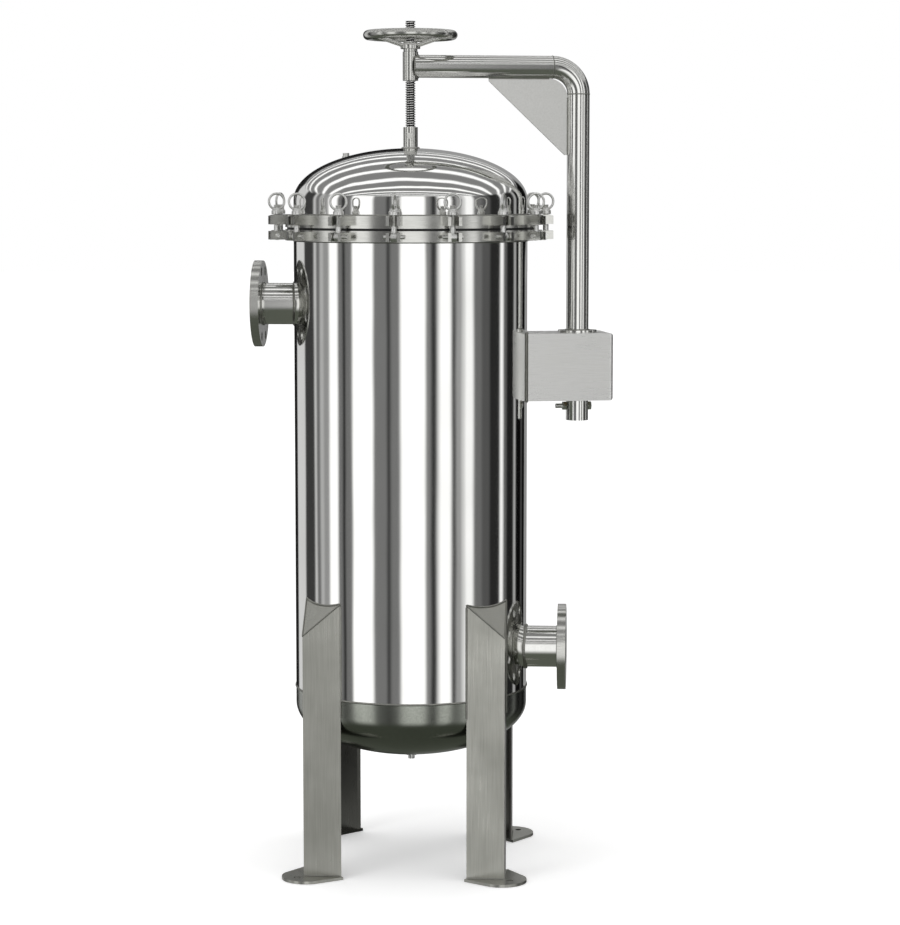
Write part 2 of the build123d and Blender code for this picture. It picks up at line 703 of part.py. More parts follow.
# ---------------------------------------------------------------- lifting screw
with BuildPart() as lifting_screw:
    with BuildSketch(Plane.XY.offset(SCREW_BOTTOM_Z)):
        Circle(SCREW_R)
    extrude(amount=SCREW_TOP_Z - SCREW_BOTTOM_Z)
    chamfer(lifting_screw.edges().group_by(Axis.Z)[-1], 1.5)
save(lifting_screw.part, "lifting_screw")

with BuildPart() as screw_coupler:
    with BuildSketch(Plane.XY.offset(COUPLER_BOTTOM_Z)):
        Circle(COUPLER_R)
    extrude(amount=COUPLER_TOP_Z - COUPLER_BOTTOM_Z)
    with BuildSketch(Plane.XY.offset(SCREW_BOTTOM_Z)):
        Circle(SCREW_R)
    extrude(amount=60, mode=Mode.SUBTRACT)
    for half_width, bottom_z, top_z in (
        (SLOT_NECK_R, COUPLER_BOTTOM_Z, SLOT_NECK_TOP_Z),
        (SLOT_CAVITY_R, SLOT_NECK_TOP_Z, SLOT_CAVITY_TOP_Z),
    ):
        with BuildSketch(level_plane(DAVIT_DEG, 0, bottom_z)):
            Circle(half_width)
            with Locations((0, 15)):
                Rectangle(2 * half_width, 30)
        extrude(amount=top_z - bottom_z, mode=Mode.SUBTRACT)
    with BuildSketch(Plane.XZ.offset(COUPLER_R - 3)):
        with Locations((0, COUPLER_PIN_Z)):
            Circle(6.5)
    extrude(amount=6)
save(screw_coupler.part, "screw_coupler")

# ---------------------------------------------------------------- handwheel
with BuildPart() as handwheel:
    with Locations((0, 0, RIM_Z)):
        Torus(RIM_R, RIM_WIRE_R)
    with BuildSketch(Plane.XY.offset(SLEEVE_TOP_Z)):
        Circle(HUB_R)
    extrude(amount=HUB_TOP_Z - SLEEVE_TOP_Z)
    with BuildSketch(Plane.XY.offset(SLEEVE_TOP_Z + 6)):
        Circle(HUB_FLANGE_R)
    extrude(amount=9)
    for spoke in range(SPOKE_COUNT):
        angle = radians(SPOKE_FIRST_DEG + spoke * 360 / SPOKE_COUNT)
        out = Vector(cos(angle), sin(angle), 0)
        start = out * 14 + Vector(0, 0, SLEEVE_TOP_Z + 12)
        end = out * (RIM_R - 3) + Vector(0, 0, RIM_Z - 3)
        with BuildSketch(Plane(origin=start, z_dir=end - start)):
            Circle(SPOKE_R)
        extrude(amount=(end - start).length)
    with BuildSketch(Plane.XY.offset(SLEEVE_TOP_Z - 5)):
        Circle(SCREW_R + RUNNING_GAP)
    extrude(amount=40, mode=Mode.SUBTRACT)
save(handwheel.part, "handwheel")
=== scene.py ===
"""Dresses the bag filter housing: finishes, threads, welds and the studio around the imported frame."""

import logging
import math
import random
from collections.abc import Callable, Iterable, Sequence
from dataclasses import dataclass
from enum import Enum

import bmesh
import bpy
from mathutils import Matrix, Vector


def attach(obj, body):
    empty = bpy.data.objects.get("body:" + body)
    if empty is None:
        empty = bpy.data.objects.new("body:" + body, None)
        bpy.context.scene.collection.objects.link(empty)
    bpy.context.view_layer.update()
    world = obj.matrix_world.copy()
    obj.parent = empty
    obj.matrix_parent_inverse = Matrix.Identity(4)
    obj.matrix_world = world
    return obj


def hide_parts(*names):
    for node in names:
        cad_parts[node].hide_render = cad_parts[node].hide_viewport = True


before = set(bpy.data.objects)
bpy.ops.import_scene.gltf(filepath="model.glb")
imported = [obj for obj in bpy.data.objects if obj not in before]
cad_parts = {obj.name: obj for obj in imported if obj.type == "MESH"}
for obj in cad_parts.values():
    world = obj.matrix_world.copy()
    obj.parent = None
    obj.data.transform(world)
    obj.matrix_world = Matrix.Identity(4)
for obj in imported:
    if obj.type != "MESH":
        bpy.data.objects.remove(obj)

LOG = logging.getLogger("housing")
MM = 0.001
Point = tuple[float, float, float]
Profile = Sequence[tuple[float, float]]


# ------------------------------------------------------------------ colour and nodes
def linear(colour: str) -> tuple[float, float, float, float]:
    """Turns an sRGB hex colour into linear values.

    Args:
        colour: six hex digits after a hash.

    Returns:
        Red, green, blue and alpha.
    """
    parts = [int(colour[i : i + 2], 16) / 255 for i in (1, 3, 5)]
    lin = [c / 12.92 if c <= 0.04045 else ((c + 0.055) / 1.055) ** 2.4 for c in parts]
    return (lin[0], lin[1], lin[2], 1.0)


def blank_material(name: str) -> tuple[bpy.types.Material, bpy.types.NodeTree]:
    """Makes a material with an empty node tree, and returns both."""
    material = bpy.data.materials.new(name)
    material.use_nodes = True
    material.node_tree.nodes.clear()
    return material, material.node_tree


def add_node(
    tree: bpy.types.NodeTree,
    kind: str,
    settings: dict[str, object] | None = None,
    links: dict[str | int, bpy.types.NodeSocket] | None = None,
    values: dict[str | int, object] | None = None,
) -> bpy.types.Node:
    """Adds one node to a tree.

    Args:
        tree: the node tree.
        kind: the node's type name, without its leading "ShaderNode".
        settings: attributes to set on it.
        links: input name or number to the output that feeds it.
        values: input name or number to its constant.

    Returns:
        The new node.
    """
    node = tree.nodes.new(f"ShaderNode{kind}")
    for key, value in (settings or {}).items():
        setattr(node, key, value)
    for key, value in (values or {}).items():
        node.inputs[key].default_value = value
    for key, socket in (links or {}).items():
        tree.links.new(socket, node.inputs[key])
    return node


class Grain(Enum):
    """How a metal surface was worked, which sets the direction of its finest marks."""

    MIRROR = "mirror"
    BRUSHED_UP = "brushed_up"
    BRUSHED_ACROSS = "brushed_across"
    TURNED = "turned"
    SATIN = "satin"
    CAST = "cast"


class Hollow(Enum):
    """Where a steel surface is painted darker to stand in for shade, in thread roots and on faces
    turned in.
    """

    NONE = "none"
    THREAD_ROOT = "thread_root"
    FACING_VESSEL = "facing_vessel"


# Where the painted shade ends, metres: the radius on a thread's flank, and the distance from the
# vessel's axis to a face's plane, which is negative where the face looks inward.
ROOT_SPAN = (0.0088, 0.0102)
FACING_SPAN = (-0.02, -0.01)

# Stretch of the grain pattern along X, Y and Z, in marks per metre.
GRAIN_SCALE: dict[Grain, Point] = {
    Grain.MIRROR: (2.5, 2.5, 0.5),
    Grain.BRUSHED_UP: (900.0, 900.0, 12.0),
    Grain.BRUSHED_ACROSS: (25.0, 25.0, 900.0),
    Grain.TURNED: (30.0, 30.0, 1200.0),
    Grain.SATIN: (260.0, 260.0, 260.0),
    Grain.CAST: (420.0, 420.0, 420.0),
}


@dataclass(frozen=True)
class SteelFinish:
    """A stainless steel surface.

    The base is the alloy's own reflectance; roughness is set by the last abrasive used on it.
    """

    name: str
    colour: str
    roughness: float
    grain: Grain
    roughness_spread: float = 0.05
    bump_mm: float = 0.02
    tint: str = "#8f8f8a"
    tint_share: float = 0.15
    # Painted shade: which recesses or inward faces get a darker colour, and that colour.
    hollow: Hollow = Hollow.NONE
    hollow_colour: str = "#343431"

    def _hollow_share(
        self, tree: bpy.types.NodeTree, where: bpy.types.Node
    ) -> bpy.types.NodeSocket:
        """Finds how far each spot lies in the part of the surface painted darker as shade.

        Args:
            tree: the material's nodes.
            where: its texture coordinate node.

        Returns:
            A socket that is 1 in the painted shade and 0 elsewhere.
        """
        level = add_node(
            tree,
            "VectorMath",
            {"operation": "MULTIPLY"},
            {0: where.outputs["Object"]},
            {1: (1, 1, 0)},
        )
        if self.hollow is Hollow.THREAD_ROOT:
            reach = add_node(tree, "VectorMath", {"operation": "LENGTH"}, {0: level.outputs[0]})
            span = ROOT_SPAN
        else:
            reach = add_node(
                tree,
                "VectorMath",
                {"operation": "DOT_PRODUCT"},
                {0: level.outputs[0], 1: where.outputs["Normal"]},
            )
            span = FACING_SPAN
        share = add_node(
            tree,
            "MapRange",
            links={"Value": reach.outputs["Value"]},
            values={"From Min": span[0], "From Max": span[1], "To Min": 1.0, "To Max": 0.0},
        )
        return share.outputs[0]

    def build(self) -> bpy.types.Material:
        """Makes the material.

        Returns:
            A metal whose colour, roughness and surface follow its grain, with painted shade where one
            is set.
        """
        material, tree = blank_material(self.name)
        where = add_node(tree, "TexCoord")
        stretched = add_node(
            tree,
            "Mapping",
            links={"Vector": where.outputs["Object"]},
            values={"Scale": GRAIN_SCALE[self.grain]},
        )
        marks = add_node(
            tree,
            "TexNoise",
            links={"Vector": stretched.outputs[0]},
            values={"Scale": 1.0, "Detail": 4.0, "Roughness": 0.55},
        )
        # Handling marks and cloudy patches some 120 mm across.
        patches = add_node(
            tree,
            "TexNoise",
            links={"Vector": where.outputs["Object"]},
            values={"Scale": 8.0, "Detail": 3.0},
        )
        mixed = add_node(
            tree, "Math", {"operation": "ADD"}, {0: marks.outputs[0], 1: patches.outputs[0]}
        )
        rough = add_node(
            tree,
            "MapRange",
            links={"Value": mixed.outputs[0]},
            values={
                "From Min": 0.6,
                "From Max": 1.4,
                "To Min": max(0.02, self.roughness - self.roughness_spread),
                "To Max": self.roughness + self.roughness_spread,
            },
        )
        share = add_node(
            tree,
            "MapRange",
            links={"Value": mixed.outputs[0]},
            values={"From Min": 0.7, "From Max": 1.3, "To Min": 0.0, "To Max": self.tint_share},
        )
        colour = add_node(
            tree,
            "Mix",
            {"data_type": "RGBA"},
            {"Factor": share.outputs[0]},
            {6: linear(self.colour), 7: linear(self.tint)},
        )
        # Painted shade: the colour is darkened in thread roots and on faces turned in towards the
        # vessel.
        if self.hollow is not Hollow.NONE:
            colour = add_node(
                tree,
                "Mix",
                {"data_type": "RGBA"},
                {"Factor": self._hollow_share(tree, where), 6: colour.outputs[2]},
                {7: linear(self.hollow_colour)},
            )
        relief = add_node(
            tree,
            "Bump",
            links={"Height": marks.outputs[0]},
            values={"Strength": 1.0, "Distance": self.bump_mm * MM},
        )
        shader = add_node(
            tree,
            "BsdfPrincipled",
            links={
                "Base Color": colour.outputs[2],
                "Roughness": rough.outputs[0],
                "Normal": relief.outputs[0],
            },
            values={"Metallic": 1.0},
        )
        add_node(tree, "OutputMaterial", links={"Surface": shader.outputs[0]})
        return material


@dataclass(frozen=True)
class SoftFinish:
    """A rubber or felt surface: matt, with a fine pore or fibre pattern."""

    name: str
    colour: str
    shade: str
    roughness: float
    spacing_mm: float
    bump_mm: float

    def build(self) -> bpy.types.Material:
        """Makes the material.

        Returns:
            A matt material with a pattern at the real spacing.
        """
        material, tree = blank_material(self.name)
        where = add_node(tree, "TexCoord")
        fibres = add_node(
            tree,
            "TexNoise",
            links={"Vector": where.outputs["Object"]},
            values={"Scale": 1000.0 / self.spacing_mm, "Detail": 5.0},
        )
        colour = add_node(
            tree,
            "Mix",
            {"data_type": "RGBA"},
            {"Factor": fibres.outputs[0]},
            {6: linear(self.colour), 7: linear(self.shade)},
        )
        relief = add_node(
            tree,
            "Bump",
            links={"Height": fibres.outputs[0]},
            values={"Strength": 1.0, "Distance": self.bump_mm * MM},
        )
        shader = add_node(
            tree,
            "BsdfPrincipled",
            links={"Base Color": colour.outputs[2], "Normal": relief.outputs[0]},
            values={"Roughness": self.roughness},
        )
        add_node(tree, "OutputMaterial", links={"Surface": shader.outputs[0]})
        return material


class Finish(Enum):
    """Every finish on the housing, by the way its surface was made."""

    # Rolled 304 plate buffed to a mirror: long soft ripples, no visible scratches.
    MIRROR_PLATE = SteelFinish(
        "mirror_polished_plate", "#f0f0ee", 0.07, Grain.MIRROR, 0.02, 1.5, "#d8d8d4", 0.3
    )
    # Spun head left satin: even and cloudy.
    SATIN_HEAD = SteelFinish(
        "satin_spun_head", "#9a9d95", 0.2, Grain.SATIN, 0.05, 0.004, "#6e726a", 0.4
    )
    # Belt-brushed angle and plate: fine marks along the leg; faces turned in towards the vessel are
    # painted darker as shade.
    BRUSHED_LEG = SteelFinish(
        "brushed_angle", "#bdbdb6", 0.32, Grain.BRUSHED_UP, 0.1, 0.012, "#92928a", 0.55,
        hollow=Hollow.FACING_VESSEL, hollow_colour="#565652",
    )
    # The gusset's plate, blasted to an even satin before welding.
    BLASTED_PLATE = SteelFinish(
        "blasted_plate", "#e6e6e3", 0.33, Grain.SATIN, 0.06, 0.008, "#bcbcb7", 0.35
    )
    # The bracket's folded plate, brushed along its length.
    BRUSHED_BOX = SteelFinish(
        "brushed_folded_plate", "#f4f4f2", 0.3, Grain.BRUSHED_ACROSS, 0.08, 0.012, "#c4c4bf", 0.4
    )
    # Drawn sanitary tube, polished: nearly a mirror.
    POLISHED_TUBE = SteelFinish(
        "polished_tube", "#e4e4e1", 0.12, Grain.BRUSHED_UP, 0.04, 0.004, "#b4b4af", 0.25
    )
    # Lathe-turned forging: fine rings.
    TURNED_FLANGE = SteelFinish(
        "turned_forging", "#d2d2ce", 0.2, Grain.TURNED, 0.07, 0.01, "#9c9c96", 0.35
    )
    # Investment-cast and tumbled bolts and nuts: an even bright satin, faintly pitted.
    TUMBLED_CASTING = SteelFinish(
        "tumbled_casting", "#ececea", 0.31, Grain.CAST, 0.05, 0.01, "#96968f", 0.3
    )
    # Rolled thread: satin crests over a root painted dark as shade.
    ROLLED_THREAD = SteelFinish(
        "rolled_thread", "#ececea", 0.34, Grain.CAST, 0.05, 0.005, "#a0a09a", 0.3,
        hollow=Hollow.THREAD_ROOT, hollow_colour="#2c2c2a",
    )
    # TIG bead after pickling: matt grey beside the polished plate.
    PICKLED_WELD = SteelFinish(
        "pickled_weld", "#a6a6a0", 0.38, Grain.CAST, 0.08, 0.05, "#6a6a64", 0.5
    )
    # Leaded bronze bush in the bracket.
    BRONZE_BUSH = SteelFinish(
        "bronze_bush", "#b08d57", 0.3, Grain.TURNED, 0.05, 0.01, "#7d6238", 0.4
    )
    # Moulded nitrile: black and faintly dusty.
    NITRILE = SoftFinish("nitrile_gasket", "#141414", "#232323", 0.6, 1.5, 0.03)
    # Needle felt of white polypropylene.
    FELT = SoftFinish("needle_felt", "#ecebe4", "#d3d1c6", 0.9, 0.8, 0.2)


class Finishes:
    """Builds each finish once and hands it out."""

    def __init__(self) -> None:
        """Starts with no material built."""
        self._built: dict[Finish, bpy.types.Material] = {}

    def get(self, finish: Finish) -> bpy.types.Material:
        """Returns the material of a finish, building it the first time."""
        if finish not in self._built:
            self._built[finish] = finish.value.build()
        return self._built[finish]


FINISHES = Finishes()


# ------------------------------------------------------------------ mesh making
def dress(obj: bpy.types.Object, finish: Finish) -> None:
    """Gives a whole object one finish."""
    obj.data.materials.clear()
    obj.data.materials.append(FINISHES.get(finish))


def dress_nodes(names: Iterable[str], finish: Finish) -> None:
    """Gives CAD nodes one finish and leaves their shape alone."""
    for name in names:
        dress(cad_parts[name], finish)


def new_object(name: str, mesh: bmesh.types.BMesh, finish: Finish) -> bpy.types.Object:
    """Turns a mesh in millimetres into an object in metres.

    Args:
        name: the object's name.
        mesh: the bmesh, which is freed.
        finish: its finish.

    Returns:
        The linked object, smooth shaded with sharp edges kept by angle.
    """
    bmesh.ops.remove_doubles(mesh, verts=mesh.verts, dist=1e-4)
    bmesh.ops.recalc_face_normals(mesh, faces=mesh.faces)
    bmesh.ops.scale(mesh, vec=(MM, MM, MM), verts=mesh.verts)
    for face in mesh.faces:
        face.smooth = True
    for edge in mesh.edges:
        if len(edge.link_faces) == 2 and edge.calc_face_angle() > math.radians(38):
            edge.smooth = False
    data = bpy.data.meshes.new(name)
    mesh.to_mesh(data)
    mesh.free()
    obj = bpy.data.objects.new(name, data)
    bpy.context.scene.collection.objects.link(obj)
    data.materials.append(FINISHES.get(finish))
    return obj


def angles(steps: int) -> list[float]:
    """Equal steps round a circle, in radians."""
    return [2 * math.pi * i / steps for i in range(steps)]


def polar(radius: float, angle: float, height: float = 0.0) -> Vector:
    """The point at a radius from Z, an angle about it in radians, and a height."""
    return Vector((radius * math.cos(angle), radius * math.sin(angle), height))


def lathe(
    mesh: bmesh.types.BMesh,
    profile: Profile,
    segments: int,
    placing: Matrix | None = None,
    closed: bool = False,
) -> None:
    """Turns a profile about Z.

    Args:
        mesh: receives the surface.
        profile: radius and height pairs, in millimetres.
        segments: steps round the axis.
        placing: where the turned form goes.
        closed: whether the profile's ends join.
    """
    placing = placing or Matrix()
    rings = [
        [mesh.verts.new(placing @ polar(r, a, z)) for r, z in profile] for a in angles(segments)
    ]
    count = len(profile)
    for step in range(segments):
        here, there = rings[step], rings[(step + 1) % segments]
        for i in range(count if closed else count - 1):
            j = (i + 1) % count
            if profile[i][0] < 1e-6 and profile[j][0] < 1e-6:
                continue
            corners = [here[i], there[i], there[j], here[j]]
            if profile[i][0] < 1e-6:
                corners = [here[i], there[j], here[j]]
            elif profile[j][0] < 1e-6:
                corners = [here[i], there[i], here[j]]
            mesh.faces.new(corners)


def sweep(
    mesh: bmesh.types.BMesh,
    path: Sequence[Vector],
    radius: Callable[[int], float],
    sides: int = 10,
    closed: bool = False,
) -> None:
    """Carries a circle along a path.

    Args:
        mesh: receives the surface.
        path: points in millimetres.
        radius: radius at each point's number.
        sides: corners of the circle.
        closed: whether the path's ends join.
    """
    count = len(path)
    rings: list[list[bmesh.types.BMVert]] = []
    side = None
    for i, point in enumerate(path):
        before = path[(i - 1) % count] if closed or i else point
        after = path[(i + 1) % count] if closed or i < count - 1 else point
        along = (after - before).normalized()
        if side is None:
            side = along.orthogonal().normalized()
        side = (side - along * side.dot(along)).normalized()
        up = along.cross(side)
        r = radius(i)
        ring = [point + side * (r * math.cos(a)) + up * (r * math.sin(a)) for a in angles(sides)]
        rings.append([mesh.verts.new(corner) for corner in ring])
    for i in range(count if closed else count - 1):
        here, there = rings[i], rings[(i + 1) % count]
        shift = 0
        if closed and i == count - 1:
            shift = min(range(sides), key=lambda s: (there[s].co - here[0].co).length_squared)
        for k in range(sides):
            over, beyond = (k + shift) % sides, (k + 1 + shift) % sides
            mesh.faces.new([here[k], here[(k + 1) % sides], there[beyond], there[over]])
    if not closed:
        mesh.faces.new(rings[0])
        mesh.faces.new(rings[-1])


def threaded_rod(
    mesh: bmesh.types.BMesh,
    crest: float,
    root: float,
    pitch: float,
    bottom: float,
    top: float,
    flat: float,
    placing: Matrix | None = None,
    segments: int = 24,
) -> None:
    """Adds a rod with a true helical thread.

    Args:
        mesh: receives the surface.
        crest: radius over the thread, mm.
        root: radius at its root, mm.
        pitch: rise in one turn, mm.
        bottom: height where the thread starts, mm.
        top: height where it ends, mm.
        flat: share of the pitch taken by each flat, 0 for a sharp form.
        placing: where the rod goes.
        segments: steps in one turn.
    """
    placing = placing or Matrix()
    ramp = (1 - 2 * flat) / 2
    form = [(0.0, root), (flat, root), (flat + ramp, crest), (2 * flat + ramp, crest)]
    if flat == 0:
        form = [(0.0, root), (0.5, crest)]
    turns = int((top - bottom) / pitch)
    steps = turns * segments
    columns = []
    for step in range(steps + 1):
        a = 2 * math.pi * step / segments
        rise = bottom + pitch * step / segments
        column = []
        for share, r in form + [(1.0, root)]:
            z = min(max(rise + share * pitch, bottom), top)
            column.append(mesh.verts.new(placing @ polar(r, a, z)))
        columns.append(column)
    for here, there in zip(columns, columns[1:]):
        for i in range(len(form)):
            mesh.faces.new([here[i], there[i], there[i + 1], here[i + 1]])
    lathe(mesh, [(0, bottom), (root, bottom), (root, top), (0, top)], segments, placing)
    lathe(
        mesh,
        [(root, top - 0.4), (crest * 0.98, top - 1.0), (root, top), (0, top)],
        segments,
        placing,
    )


def bead(
    mesh: bmesh.types.BMesh, path: Sequence[Vector], radius: float, closed: bool = False
) -> None:
    """Lays a weld bead whose ripples stand about 2 mm apart.

    Args:
        mesh: receives the bead.
        path: its centre line, mm.
        radius: its half width, mm.
        closed: whether it runs all the way round.
    """
    fine: list[Vector] = []
    count = len(path)
    for i in range(count if closed else count - 1):
        start, end = path[i], path[(i + 1) % count]
        steps = max(1, round((end - start).length / 1.6))
        fine += [start.lerp(end, k / steps) for k in range(steps)]
    if not closed:
        fine.append(path[-1])
    rng = random.Random(len(fine))
    wobble = [rng.uniform(-0.06, 0.06) for _ in fine]
    sweep(
        mesh,
        fine,
        lambda i: radius * (1 + 0.1 * math.cos(i * math.pi * 0.8) + wobble[i]),
        6,
        closed,
    )


def ring_path(
    radius: float, height: float, steps: int = 120, placing: Matrix | None = None
) -> list[Vector]:
    """Points round a level circle, in millimetres, moved by placing."""
    placing = placing or Matrix()
    return [placing @ polar(radius, a, height) for a in angles(steps)]


def cut(obj: bpy.types.Object, tools: Sequence[bpy.types.Object]) -> None:
    """Cuts tools out of an object and deletes them.

    Args:
        obj: the object that is cut.
        tools: closed objects in the same frame.
    """
    for tool in tools:
        modifier = obj.modifiers.new("cut", "BOOLEAN")
        modifier.operation = "DIFFERENCE"
        modifier.solver = "EXACT"
        modifier.object = tool
    shaped = bpy.data.meshes.new_from_object(
        obj.evaluated_get(bpy.context.evaluated_depsgraph_get())
    )
    obj.modifiers.clear()
    obj.data = shaped
    for tool in tools:
        bpy.data.objects.remove(tool)


# ------------------------------------------------------------------ vessel
@dataclass
class Vessel:
    """The mirror-polished shell, its satin bottom head, nozzles and legs. Sizes in millimetres."""

    radius: float = 250.0
    wall: float = 5.0
    bottom: float = 383.0
    top: float = 1368.0
    head_rise: float = 110.0
    skirt: float = 36.0
    pipe_radius: float = 44.55
    inlet_height: float = 1208.0
    outlet_height: float = 467.5
    nozzle_reach: float = 336.0
    nozzle_flange: float = 18.0
    flange_under: float = 1345.0
    leg_corner: float = 212.5
    leg_toe: float = 132.5
    leg_toe_top: float = 588.0
    leg_corner_top: float = 520.0
    leg_arc_deg: float = 12.8  # each way, where the cap's bead follows the shell
    foot: float = 6.0
    drain: float = 11.5
    segments: int = 288

    def build(self) -> None:
        """Builds and dresses the whole vessel body."""
        self._shell()
        self._bottom_head()
        self._welds()
        turned = ["vessel_flange", "inlet_flange", "outlet_flange", "bag_plate", "bag_baskets"]
        dress_nodes(turned, Finish.TURNED_FLANGE)
        dress_nodes(["inlet_pipe", "outlet_pipe"], Finish.POLISHED_TUBE)
        dress_nodes(["hinge_pins", "drain_plug"], Finish.TUMBLED_CASTING)
        # The legs' finish paints shade on the faces turned in towards the vessel.
        dress_nodes(["legs", "foot_plates"], Finish.BRUSHED_LEG)
        dress_nodes(["davit_box"], Finish.BRUSHED_BOX)
        dress_nodes(["post_bushes"], Finish.BRONZE_BUSH)
        dress_nodes(["lid_gasket"], Finish.NITRILE)
        dress_nodes(["filter_bags"], Finish.FELT)
        LOG.info("vessel dressed")

    @staticmethod
    def _nozzle(side: int, height: float) -> Matrix:
        """A nozzle's place, its Z pointing out of the shell; side is -1 or +1 along X."""
        out = Matrix.Rotation(side * math.pi / 2, 4, "Y")
        return Matrix.Translation((0, 0, height)) @ out

    def _pipe_tool(self, side: int, height: float) -> bpy.types.Object:
        """A plug the size of a nozzle pipe, for cutting its hole in the shell."""
        mesh = bmesh.new()
        r, near, far = self.pipe_radius, self.radius - 50, self.radius + 50
        profile = [(0, near), (r, near), (r, far), (0, far)]
        lathe(mesh, profile, 96, self._nozzle(side, height))
        return new_object("pipe_hole", mesh, Finish.MIRROR_PLATE)

    def _shell(self) -> None:
        """The rolled shell with its two nozzle holes."""
        mesh = bmesh.new()
        outer, inner = self.radius, self.radius - self.wall
        lathe(
            mesh,
            [(outer, self.bottom), (outer, self.top), (inner, self.top), (inner, self.bottom)],
            self.segments,
            closed=True,
        )
        shell = new_object("polished_shell", mesh, Finish.MIRROR_PLATE)
        inlet = self._pipe_tool(-1, self.inlet_height)
        outlet = self._pipe_tool(1, self.outlet_height)
        cut(shell, [inlet, outlet])
        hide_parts("shell")
        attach(shell, "vessel")

    def _bottom_head(self) -> None:
        """The spun head: a straight skirt, then half an ellipse."""
        mesh = bmesh.new()
        spring = self.bottom - self.skirt
        rise = self.head_rise
        steps = 28
        inside, shallow = self.radius - self.wall, rise - self.wall
        outer, inner = [(self.radius, self.bottom)], [(inside, self.bottom)]
        for i in range(steps):
            a = math.pi / 2 * i / steps
            outer.append((self.radius * math.cos(a), spring - rise * math.sin(a)))
            inner.append((inside * math.cos(a), spring - shallow * math.sin(a)))
        # The drain's hole, from just inside the outer skin.
        hole = [(self.drain, spring - rise + 0.2), (self.drain, spring - rise + self.wall)]
        lathe(mesh, outer + hole + inner[::-1], self.segments, closed=True)
        head = new_object("spun_head", mesh, Finish.SATIN_HEAD)
        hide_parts("bottom_head")
        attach(head, "vessel")

    def _on_shell(self, y: float, z: float, side: int) -> Vector:
        """The point of the shell's skin at a given Y and height."""
        return Vector((side * math.sqrt(self.radius**2 - y * y), y, z))

    def _welds(self) -> None:
        """Every bead on the vessel body, as one object."""
        mesh = bmesh.new()
        bead(mesh, ring_path(self.radius - 0.4, self.bottom, 200), 2.4, True)
        bead(mesh, ring_path(self.radius, self.flange_under, 200), 2.6, True)
        for side, height in ((-1, self.inlet_height), (1, self.outlet_height)):
            r = self.pipe_radius + 0.8
            saddle = [(r * math.cos(a), height + r * math.sin(a)) for a in angles(96)]
            bead(mesh, [self._on_shell(y, z, side) for y, z in saddle], 3.4, True)
            back = self.nozzle_reach - self.nozzle_flange
            turn = self._nozzle(side, height)
            bead(mesh, ring_path(self.pipe_radius, back, 96, turn), 2.6, True)
        self._leg_welds(mesh)
        welds = new_object("vessel_welds", mesh, Finish.PICKLED_WELD)
        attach(welds, "vessel")

    def _leg_welds(self, mesh: bmesh.types.BMesh) -> None:
        """The beads down both toes of each leg, round its cap and its foot.

        Args:
            mesh: receives the beads.
        """
        skirt_end = self.bottom - self.skirt
        depth = (self.leg_corner - self.leg_toe) / math.sqrt(2)
        fall = (self.leg_toe_top - self.leg_corner_top) / depth
        for quarter in range(4):
            turn = Matrix.Rotation(quarter * math.pi / 2, 4, "Z")
            for x, y in ((self.leg_toe, self.leg_corner), (self.leg_corner, self.leg_toe)):
                line = [Vector((x, y, self.leg_toe_top - 4)), Vector((x, y, skirt_end))]
                bead(mesh, [turn @ p for p in line], 2.2)
            around = []
            for i in range(25):
                swing = self.leg_arc_deg * (i / 12 - 1)
                point = polar(self.radius, math.radians(45 + swing))
                beyond = (point.x + point.y - self.leg_corner - self.leg_toe) / math.sqrt(2)
                point.z = self.leg_toe_top - fall * beyond
                around.append(turn @ point)
            bead(mesh, around, 2.4)
            ridge = [
                Vector((self.leg_toe, self.leg_corner, self.leg_toe_top)),
                Vector((self.leg_corner, self.leg_corner, self.leg_corner_top)),
                Vector((self.leg_corner, self.leg_toe, self.leg_toe_top)),
            ]
            bead(mesh, [turn @ p for p in ridge], 1.8)
            c, t, z = self.leg_corner, self.leg_toe + 4, self.foot
            foot = [Vector((t, c, z)), Vector((c, c, z)), Vector((c, t, z))]
            bead(mesh, [turn @ p for p in foot], 2.2)


